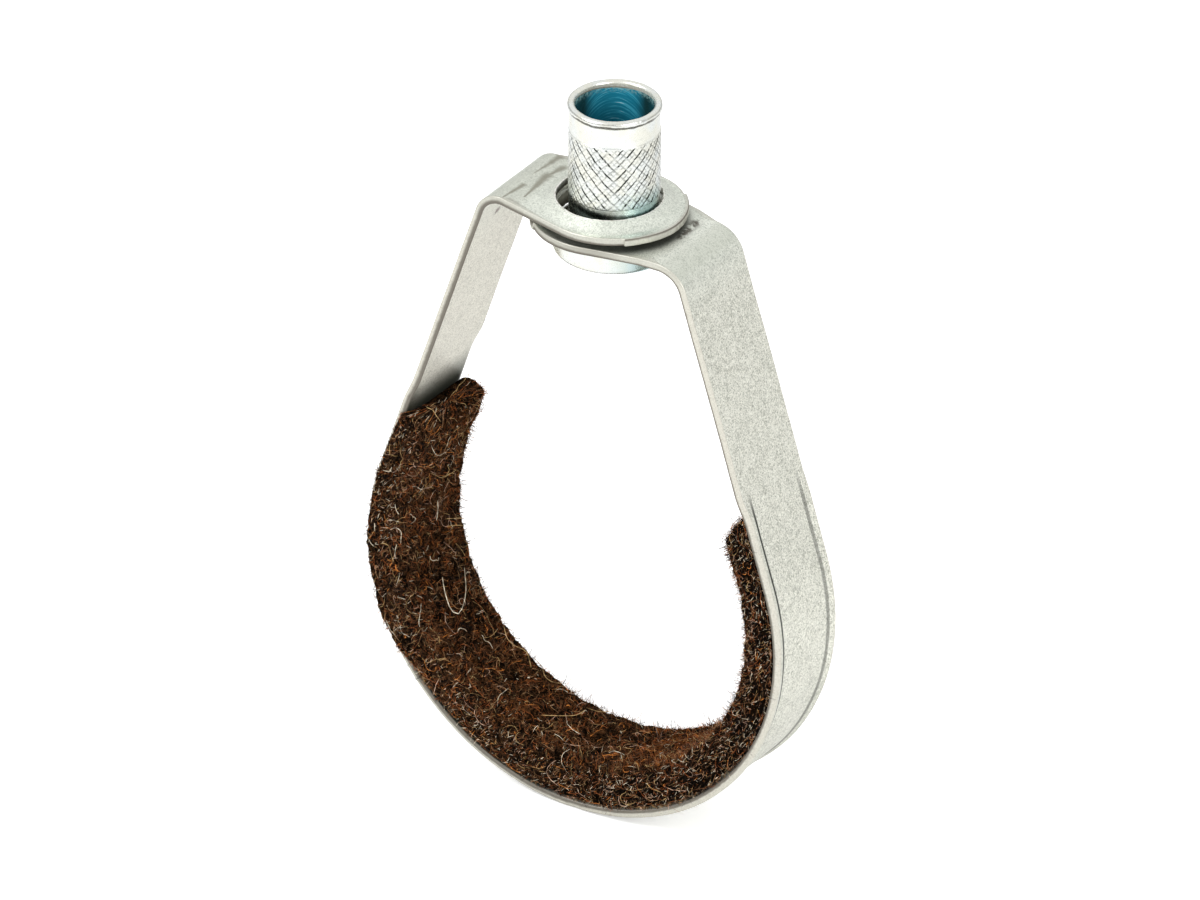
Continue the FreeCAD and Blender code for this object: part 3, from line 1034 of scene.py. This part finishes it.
class HairField:
    """The felt's surface, to lay hairs on: a point is (row, column) on its grid, with a height off it."""

    def __init__(self, grid):
        self.grid = grid
        self.normal = grid_normals(grid)
        self.rows = len(grid)
        self.low = front_columns[0] + 1
        self.high = rear_columns[1] - 2
        self.shades = [hair_finish("hair_" + name, colour) for name, (colour, _) in hair_shades.items()]
        self.stoutness = np.array([stout for _, stout in hair_shades.values()])

    def sample(self, row, column, height):
        """Points in space, read between the grid's points."""
        row = np.clip(row, 0, self.rows - 1.001)
        column = np.clip(column, self.low, self.high)
        i, j = row.astype(int), column.astype(int)
        u, v = (row - i)[..., None], (column - j)[..., None]

        def read(values):
            top = values[i, j] * (1 - v) + values[i, j + 1] * v
            low = values[i + 1, j] * (1 - v) + values[i + 1, j + 1] * v
            return top * (1 - u) + low * u

        return read(self.grid) + read(self.normal) * height[..., None]

    def wander(self, count, steps, step, curl, wobble):
        """Lines that wander over the felt's face, turning steadily, as (row, column)."""
        length = dice.uniform(*step, (count, 1))
        row = dice.uniform(0, self.rows - 1, (count, 1))
        column = dice.uniform(self.low, self.high, (count, 1))
        heading = dice.uniform(0, 2 * math.pi, (count, 1))
        bend = dice.normal(0, curl, (count, 1)) + dice.normal(0, wobble, (count, steps))
        heading = heading + np.cumsum(bend, axis=1)
        rows = row + np.cumsum(np.cos(heading) * length / row_step, axis=1)
        return rows, column + np.cumsum(np.sin(heading) * length / column_step, axis=1)

    def grow(self, name, rows, columns, height, radius, chances):
        """Hairs along such lines, each in a shade drawn by the chances and stout for its shade."""
        lines = self.sample(rows, columns, height)
        shade = dice.choice(len(self.shades), len(lines), p=chances)
        radius = dice.uniform(*radius, len(lines)) * self.stoutness[shade]
        make_hairs(name, lines, radius, shade, self.shades)

    def fuzz(self, name, count, rows, columns, chances, loft=0.2, radius=(0.017, 0.036)):
        """Short hairs that stand off the felt every way. Rows are given as shares of the felt's length."""
        row = dice.uniform(*rows, (count, 1)) * (self.rows - 1)
        column = dice.uniform(*columns, (count, 1))
        lean = dice.normal(0, hair_lean, (count, 2))
        share = np.linspace(0, 1, 4)[None]
        height = dice.gamma(2.6, loft, (count, 1)) * share - 0.1
        rows = row + lean[:, :1] * (share + share**2 * dice.normal(0, 0.4, (count, 1)))
        columns = column + lean[:, 1:] * (share + share**2 * dice.normal(0, 0.4, (count, 1)))
        self.grow(name, rows, columns, height, radius, chances)

    def laid(self, name, count, steps, curl, wobble, loft, radius, chances):
        """Hairs that lie on the felt and rise off it a little in the middle."""
        rows, columns = self.wander(count, steps, laid_step, curl, wobble)
        share = np.linspace(0, 1, steps)[None]
        height = np.sin(share * math.pi) * dice.gamma(2.0, loft, (count, 1)) - 0.05
        self.grow(name, rows, columns, height, radius, chances)

    def strays(self, count, steps, chances):
        """Long thin hairs that stand clear of the felt."""
        rows, columns = self.wander(count, steps, (0.1, 0.3), 0.12, 0.05)
        share = np.linspace(0, 1, steps)[None]
        height = share**1.3 * dice.uniform(0.8, 3.0, (count, 1)) - 0.1
        lines = self.sample(rows, columns, height)
        lines[:, 1:] += np.cumsum(dice.normal(0, 0.03, (count, steps - 1, 3)), axis=1)
        shade = dice.choice(len(self.shades), count, p=chances)
        make_hairs("felt_stray_hairs", lines, dice.uniform(0.014, 0.022, count), shade, self.shades)


def smooth_line(points, count=14):
    """A line through a few points, rounded at its bends."""
    line = np.array(eased_corners(points, 1.6, 6))
    return at_lengths(line, np.linspace(0, lengths(line)[-1], count))


def single_hairs(shades):
    """The hairs that catch the eye one by one, by (angle round the ring, distance from its middle or y)."""
    names = list(hair_shades)
    pale, orange, khaki, rust = (names.index(name) for name in ("pale", "orange", "khaki", "rust"))
    hook = [(197.9, -0.8), (201.7, -1.5), (207.5, -2.0), (210.3, -1.2)]
    hook += [(209.3, 0.8), (205.8, 3.2), (199.8, 4.7)]
    on_front = [
        ([(135.2, 35.4), (133.6, 34.6), (134.1, 32.4)], khaki, 0.045),
        ([(142.4, 30.6), (143.4, 28.8), (139.5, 28.4)], pale, 0.04),
        ([(160.2, 34.9), (158.7, 33.5)], pale, 0.06),
        ([(167.6, 31.4), (170.2, 30.4)], pale, 0.06),
        ([(176.4, 31.6), (174.6, 30.6), (174.9, 29.4), (179.4, 29.6)], pale, 0.065),
        ([(181.4, 33.2), (180.6, 31.6), (186.0, 31.0)], khaki, 0.06),
        ([(180.1, 30.3), (184.6, 30.7)], pale, 0.055),
        ([(186.5, 31.4), (188.4, 31.9)], orange, 0.09),
        ([(186.7, 30.7), (188.8, 30.5)], orange, 0.09),
        ([(181.1, 35.3), (182.9, 34.3)], pale, 0.05),
    ]
    on_face = [
        (hook, pale, 0.1),
        ([(160.8, -3.2), (167.0, 1.0), (168.2, 5.3)], khaki, 0.05),
        ([(166.1, -0.3), (169.6, 0.3)], orange, 0.085),
        ([(163.1, -6.2), (165.6, -4.6)], pale, 0.085),
        ([(174.3, 0.6), (180.7, 0.3)], pale, 0.06),
        ([(191.5, 4.3), (197.1, 5.7)], khaki, 0.045),
        ([(182.4, 2.8), (184.4, 5.4), (186.3, 7.4)], khaki, 0.06),
        ([(184.9, 2.9), (186.4, 5.2), (188.7, 7.2)], khaki, 0.05),
        ([(221.4, 6.5), (225.0, 5.2), (228.2, 5.6), (231.3, 7.0), (236.2, 5.3)], khaki, 0.07),
        ([(234.8, 7.2), (238.0, 7.0), (241.2, 5.5), (244.2, 5.8), (246.4, 7.4)], khaki, 0.07),
        ([(219.8, 0.7), (221.6, 2.6), (220.9, 5.2)], khaki, 0.05),
        ([(222.9, -4.5), (226.7, -6.7), (231.8, -6.8), (235.2, -6.6)], rust, 0.055),
        ([(257.8, 5.2), (258.1, 2.6), (253.5, 0.1), (250.0, -1.5)], khaki, 0.06),
        ([(257.5, 5.5), (261.8, 5.6), (264.0, 7.2)], khaki, 0.055),
        ([(258.0, -3.6), (261.9, -4.0)], pale, 0.05),
        ([(252.8, 3.5), (253.6, 3.8)], orange, 0.11),
        ([(238.0, 3.1), (238.5, 3.3)], pale, 0.12),
    ]
    bend_r = 30
    lines, radius, shade = [], [], []
    for marks, front in ((on_front, True), (on_face, False)):
        for points, colour, width in marks:
            line = smooth_line([(math.radians(angle) * bend_r, other) for angle, other in points])
            angle = line[:, 0] / bend_r
            lift = 0.25 + 0.2 * np.sin(np.linspace(0, math.pi, len(line)))
            if front:
                away, y = line[:, 1], -felt_w / 2 - 1.35 - lift
            else:
                thick = np.array([felt_thickness(math.sin(turn)) for turn in angle])
                away, y = felt_back_r - thick - lift - 0.3, line[:, 1]
            x = ring_centre[0] + away * np.cos(angle)
            z = ring_centre[1] + away * np.sin(angle)
            lines.append(np.stack([x, np.broadcast_to(y, x.shape), z], 1))
            radius.append(width)
            shade.append(colour)
    make_hairs("felt_single_hairs", np.array(lines), np.array(radius) * 0.75, np.array(shade), shades)


def felt_hairs(grid):
    field = HairField(grid)
    last, first = front_columns[1], rear_columns[0]
    front, face, rear = (field.low, last), (last, first), (first, field.high)

    # Chances of black, brown, rust, orange, khaki, tan, pale and pink
    on_sides = [0.42, 0.20, 0.09, 0.02, 0.06, 0.09, 0.07, 0.05]
    on_face = [0.20, 0.28, 0.24, 0.05, 0.06, 0.13, 0.02, 0.02]
    on_dark_side = [0.56, 0.12, 0.03, 0.01, 0.05, 0.06, 0.10, 0.07]
    thin = [0.3, 0.4, 0.2, 0.0, 0.02, 0.08, 0.0, 0.0]
    fine = [0.25, 0.29, 0.19, 0.03, 0.06, 0.13, 0.02, 0.03]
    long = [0.10, 0.30, 0.24, 0.04, 0.10, 0.16, 0.02, 0.04]
    bold = [0.05, 0.25, 0.28, 0.04, 0.16, 0.14, 0.03, 0.05]
    stray = [0.2, 0.4, 0.15, 0.0, 0.1, 0.15, 0.0, 0.0]

    field.fuzz("felt_left_fuzz", 4300, (0, 0.56), front, on_sides)
    field.fuzz("felt_right_fuzz", 4700, (0.54, 1), front, on_dark_side)
    field.fuzz("felt_face_fuzz", 6100, (0, 1), face, on_face)
    field.fuzz("felt_rear_fuzz", 1900, (0, 1), rear, on_sides)
    field.fuzz("felt_front_halo", 2600, (0, 1), (last - 7, last + 5), thin, 0.36, (0.018, 0.03))
    field.fuzz("felt_rear_halo", 2700, (0, 1), (first - 6, first + 7), thin, 0.36, (0.018, 0.03))
    field.laid("felt_down", 3450, 6, 0.25, 0.5, 0.1, (0.02, 0.038), fine)
    field.laid("felt_matted_hairs", 1150, 12, 0.14, 0.3, 0.14, (0.02, 0.036), long)
    field.laid("felt_curls", 170, 20, 0.2, 0.1, 0.2, (0.026, 0.042), bold)
    single_hairs(field.shades)
    field.strays(90, 20, stray)


# Floor, light and camera

view_azimuth = 32.75
view_elevation = 29.65
view_roll = 0.4
view_width = 177.7
aim_left = 2.19
aim_below = 50.94
aim_behind = 28.9
lens = 1000.0
sensor = 36.0


def make_floor():
    """A matt floor, white to the camera."""
    size = 4000
    low = band_low.z - 0.1
    mesh = bpy.data.meshes.new("floor")
    corners = [(x * size, y * size, low) for x, y in ((-1, -1), (1, -1), (1, 1), (-1, 1))]
    mesh.from_pydata([[value * MM for value in corner] for corner in corners], [], [(0, 1, 2, 3)])
    floor = bpy.data.objects.new("floor", mesh)
    bpy.context.scene.collection.objects.link(floor)
    f = Finish("pale_floor", {"Roughness": 1.0, "Specular IOR Level": 0.0, "Emission Strength": 0.4})
    f.colour = (0.85, 0.85, 0.85)
    seen = f.node("LightPath", output="Is Camera Ray")
    mesh.materials.append(f.done(**{"Emission Color": f.blend(seen, (0, 0, 0), (1, 1, 1))}))


def make_world():
    """White to the camera, and a pale dome that dims towards its foot for the light on the part."""
    f = Finish("studio", {"Color": (1, 1, 1)}, world=True)
    bpy.context.scene.world = f.holder
    height = f.axis("Z", f.node("TexCoord", output="Generated"))
    limits = {"Value": height, "From Min": 0.02, "From Max": 0.36, "To Min": 0.5, "To Max": 0.98}
    dome = f.node("MapRange", {"interpolation_type": "SMOOTHSTEP"}, limits)
    seen = f.node("LightPath", output="Is Camera Ray")
    f.set({"Strength": f.node("Mix", None, {0: seen, 2: dome, 3: 1.0})})


def make_lamp(name, place, size, watts, aim=(0, 0, -55)):
    lamp = bpy.data.lights.new(name, "AREA")
    lamp.shape = "DISK"
    lamp.size = size * MM
    lamp.energy = watts
    holder = bpy.data.objects.new(name, lamp)
    holder.location = Vector(place) * MM
    holder.rotation_mode = "QUATERNION"
    holder.rotation_quaternion = (Vector(aim) - Vector(place)).to_track_quat("-Z", "Y")
    bpy.context.scene.collection.objects.link(holder)


def make_camera():
    az, el, roll = (math.radians(angle) for angle in (view_azimuth, view_elevation, view_roll))
    back = Vector((math.sin(az) * math.cos(el), -math.cos(az) * math.cos(el), math.sin(el)))
    level = Vector((math.cos(az), math.sin(az), 0))
    upright = back.cross(level)
    across = math.cos(roll) * level + math.sin(roll) * upright
    up = math.cos(roll) * upright - math.sin(roll) * level
    bead_middle = Vector((0, 0, lip_top_z - (lip_r - bore_r) / 2))
    aim = bead_middle - aim_left * across - aim_below * up - aim_behind * back
    camera = bpy.data.cameras.new("camera")
    camera.lens = lens
    camera.sensor_width = sensor
    camera.clip_start = 0.1
    camera.clip_end = 20
    holder = bpy.data.objects.new("camera", camera)
    place = (aim + back * view_width * lens / sensor) * MM
    axes = Matrix((across, up, back)).transposed()
    holder.matrix_world = Matrix.Translation(place) @ axes.to_4x4()
    bpy.context.scene.collection.objects.link(holder)
    bpy.context.scene.camera = holder


bpy.context.scene.view_settings.view_transform = "Standard"
make_camera()
make_world()
make_floor()
make_lamp("key_lamp", (-260, -420, 420), 320, 2.6)
make_lamp("fill_lamp", (480, -200, 200), 300, 1.1)
make_band()
make_nut()
felt_hairs(make_felt())
